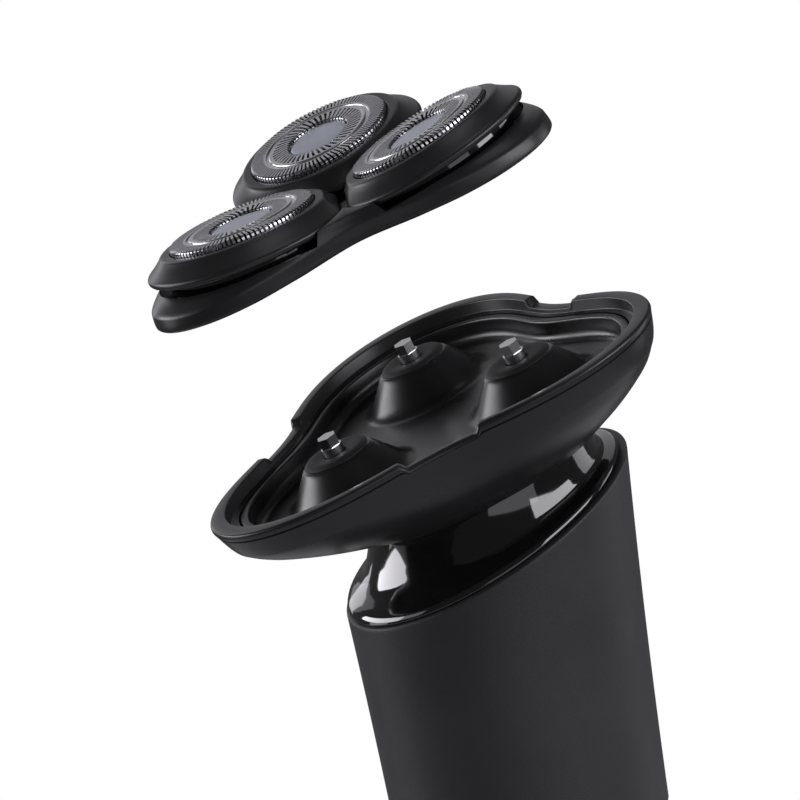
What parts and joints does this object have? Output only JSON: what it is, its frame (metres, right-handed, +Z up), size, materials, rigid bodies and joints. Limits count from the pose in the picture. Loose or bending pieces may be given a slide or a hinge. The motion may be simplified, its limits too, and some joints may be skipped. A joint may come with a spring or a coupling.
{
  "type": "rotary electric shaver",
  "caption": "Cordless rotary shaver: slim round handle, angled glossy neck, trilobal hair chamber and a lift-off shaving unit with tilting slotted cutters.",
  "frame": {"origin": "centre of the flat base that the handle stands on", "axes": "+Z up the handle, -Y towards the front with the power button, +X to the right"},
  "size_m": [0.07, 0.0679, 0.1821],
  "materials": {
    "black_rubber": "matte",
    "blade_steel": "ground",
    "board_green": "solder mask",
    "cap_steel": "satin",
    "cell_wrap": "shrink sleeve",
    "chip_black": "moulded",
    "frame_plastic": "moulded",
    "gloss_black": "high gloss",
    "gold_contact": "plated",
    "hub_grey": "moulded",
    "magnet_nickel": "nickel plated",
    "motor_steel": "plated",
    "plated_steel": "bright",
    "satin_black": "satin",
    "shaving_steel": "fine brushed",
    "soft_touch_black": "soft-touch matte",
    "white_nylon": "natural"
  },
  "bodies": {
    "handle": {"handle_shell": "soft_touch_black", "base_cap": "satin_black", "base_seal": "black_rubber", "inner_frame": "frame_plastic", "battery_cell": "cell_wrap", "battery_tabs": "plated_steel", "circuit_board": "board_green", "board_parts": "chip_black", "button_switch": "plated_steel", "button_seal": "black_rubber", "charging_port": "plated_steel", "port_contacts": "gold_contact", "motor_can": "motor_steel", "motor_end_bell": "chip_black", "motor_screws": "plated_steel", "gear_plate": "motor_steel", "gear_posts": "plated_steel", "neck_collar": "gloss_black", "collar_seal": "black_rubber", "chamber_shell": "satin_black", "hair_tray": "satin_black", "spindle_seals": "black_rubber", "chamber_magnets": "magnet_nickel"},
    "power_button": {"power_button": "satin_black"},
    "rotor": {"motor_shaft": "plated_steel", "motor_pinion": "white_nylon"},
    "head_unit": {"head_ring": "satin_black", "head_plate": "satin_black", "head_magnets": "magnet_nickel", "petal_hinge_pins": "plated_steel"},
    "gear_front": {"drive_gear_front": "white_nylon", "spindle_spring_front": "plated_steel"},
    "spindle_front": {"drive_spindle_front": "plated_steel"},
    "petal_front": {"petal_cover_front": "satin_black", "petal_frame_front": "satin_black", "guard_front": "shaving_steel", "guard_cap_front": "cap_steel", "blade_retainer_front": "white_nylon"},
    "cutter_front": {"blade_front": "blade_steel", "blade_hub_front": "hub_grey"},
    "gear_right": {"drive_gear_right": "white_nylon", "spindle_spring_right": "plated_steel"},
    "spindle_right": {"drive_spindle_right": "plated_steel"},
    "petal_right": {"petal_cover_right": "satin_black", "petal_frame_right": "satin_black", "guard_right": "shaving_steel", "guard_cap_right": "cap_steel", "blade_retainer_right": "white_nylon"},
    "cutter_right": {"blade_right": "blade_steel", "blade_hub_right": "hub_grey"},
    "gear_left": {"drive_gear_left": "white_nylon", "spindle_spring_left": "plated_steel"},
    "spindle_left": {"drive_spindle_left": "plated_steel"},
    "petal_left": {"petal_cover_left": "satin_black", "petal_frame_left": "satin_black", "guard_left": "shaving_steel", "guard_cap_left": "cap_steel", "blade_retainer_left": "white_nylon"},
    "cutter_left": {"blade_left": "blade_steel", "blade_hub_left": "hub_grey"}
  },
  "joints": [
    {"name": "head_lift", "type": "slide", "parent": "handle", "child": "head_unit", "axis": [0, -0.2267, 0.974], "range_m": [-0.0285, 0]},
    {"name": "button_press", "type": "slide", "parent": "handle", "child": "power_button", "axis": [0, 1, 0], "range_m": [0, 0.0005], "stiffness_N_per_m": 600, "springref_m": -0.001},
    {"name": "motor_spin", "type": "hinge", "parent": "handle", "child": "rotor", "pos_m": [0, -0.00192, 0.12825], "axis": [0, -0.3486, 0.9373], "continuous": true},
    {"name": "gear_spin_front", "type": "hinge", "parent": "handle", "child": "gear_front", "pos_m": [0, -0.01915, 0.12654], "axis": [0, -0.3486, 0.9373], "continuous": true},
    {"name": "spindle_press_front", "type": "slide", "parent": "gear_front", "child": "spindle_front", "axis": [0, -0.3486, 0.9373], "range_m": [-0.0015, 0], "stiffness_N_per_m": 300, "springref_m": 0.0015},
    {"name": "petal_tilt_front", "type": "hinge", "parent": "head_unit", "child": "petal_front", "pos_m": [0, -0.01759, 0.16758], "axis": [1, 0, 0], "range_deg": [0, 2.5], "stiffness_Nm_per_rad": 0.05, "springref_deg": -8.59},
    {"name": "cutter_spin_front", "type": "hinge", "parent": "petal_front", "child": "cutter_front", "pos_m": [0, -0.03051, 0.16933], "axis": [0, -0.2402, 0.9707], "continuous": true},
    {"name": "gear_spin_right", "type": "hinge", "parent": "handle", "child": "gear_right", "pos_m": [0.01451, 0.0044, 0.1353], "axis": [0, -0.3486, 0.9373], "continuous": true},
    {"name": "spindle_press_right", "type": "slide", "parent": "gear_right", "child": "spindle_right", "axis": [0, -0.3486, 0.9373], "range_m": [-0.0015, 0], "stiffness_N_per_m": 300, "springref_m": 0.0015},
    {"name": "petal_tilt_right", "type": "hinge", "parent": "head_unit", "child": "petal_right", "pos_m": [0.00398, -0.01112, 0.16998], "axis": [-0.5, 0.8117, 0.3019], "range_deg": [0, 2.5], "stiffness_Nm_per_rad": 0.05, "springref_deg": -8.59},
    {"name": "cutter_spin_right", "type": "hinge", "parent": "petal_right", "child": "cutter_right", "pos_m": [0.01394, -0.00787, 0.17775], "axis": [-0.098, -0.3994, 0.9115], "continuous": true},
    {"name": "gear_spin_left", "type": "hinge", "parent": "handle", "child": "gear_left", "pos_m": [-0.01451, 0.0044, 0.1353], "axis": [0, -0.3486, 0.9373], "continuous": true},
    {"name": "spindle_press_left", "type": "slide", "parent": "gear_left", "child": "spindle_left", "axis": [0, -0.3486, 0.9373], "range_m": [-0.0015, 0], "stiffness_N_per_m": 300, "springref_m": 0.0015},
    {"name": "petal_tilt_left", "type": "hinge", "parent": "head_unit", "child": "petal_left", "pos_m": [-0.00398, -0.01112, 0.16998], "axis": [-0.5, -0.8117, -0.3019], "range_deg": [0, 2.5], "stiffness_Nm_per_rad": 0.05, "springref_deg": -8.59},
    {"name": "cutter_spin_left", "type": "hinge", "parent": "petal_left", "child": "cutter_left", "pos_m": [-0.01394, -0.00787, 0.17775], "axis": [0.098, -0.3994, 0.9115], "continuous": true}
  ],
  "couplings": [
    {"joint": "gear_spin_front", "follows": "motor_spin", "ratio": -0.52273},
    {"joint": "cutter_spin_front", "follows": "motor_spin", "ratio": -0.52273},
    {"joint": "gear_spin_right", "follows": "motor_spin", "ratio": -0.52273},
    {"joint": "cutter_spin_right", "follows": "motor_spin", "ratio": -0.52273},
    {"joint": "gear_spin_left", "follows": "motor_spin", "ratio": -0.52273},
    {"joint": "cutter_spin_left", "follows": "motor_spin", "ratio": -0.52273}
  ]
}
